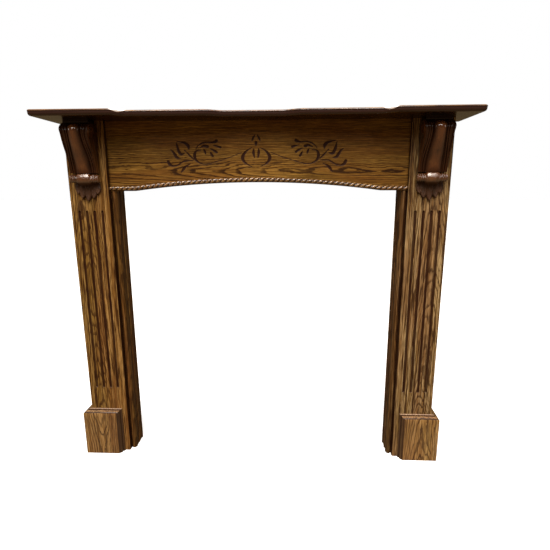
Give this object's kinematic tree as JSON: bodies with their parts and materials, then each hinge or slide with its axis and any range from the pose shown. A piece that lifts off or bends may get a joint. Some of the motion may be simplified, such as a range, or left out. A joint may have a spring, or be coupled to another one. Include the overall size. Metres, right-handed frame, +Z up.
{
  "type": "fireplace mantel",
  "caption": "Stained oak fireplace mantel: fluted pilaster legs on plinths, carved corbels, arched frieze with rope moulding, and a breakfront shelf.",
  "frame": {"origin": "on the floor under the middle of the whole mantel; the wall face is at Y = +0.1045 m", "axes": "+X along the shelf to the viewer's right, +Y towards the wall, +Z up; the front faces -Y"},
  "size_m": [1.4, 0.209, 1.253],
  "materials": {
    "oak": "stained flat-sawn oak under satin lacquer",
    "mahogany": "dark red mahogany under high-gloss lacquer",
    "inner_wood": "unfinished pale softwood",
    "zinc": "zinc-plated steel"
  },
  "bodies": {
    "root": {"mantel_shelf": "oak", "frieze_board": "oak", "rope_moulding": "oak", "shelf_rail": "inner_wood", "wall_cleat": "inner_wood", "shelf_screws": "zinc", "frieze_dowels": "inner_wood", "corbel_dowels": "inner_wood", "pilaster_left": "oak", "pilaster_right": "oak", "inner_return_left": "oak", "inner_return_right": "oak", "outer_return_left": "oak", "outer_return_right": "oak", "jamb_moulding_left": "oak", "jamb_moulding_right": "oak", "plinth_front_left": "oak", "plinth_front_right": "oak", "plinth_return_left": "oak", "plinth_return_right": "oak", "corbel_left": "mahogany", "corbel_right": "mahogany", "corbel_leaf_left": "mahogany", "corbel_leaf_right": "mahogany", "glue_blocks_left": "inner_wood", "glue_blocks_right": "inner_wood", "leg_spreaders_left": "inner_wood", "leg_spreaders_right": "inner_wood", "keyhole_plate_left": "zinc", "keyhole_plate_right": "zinc", "keyhole_screws": "zinc"}
  },
  "joints": []
}
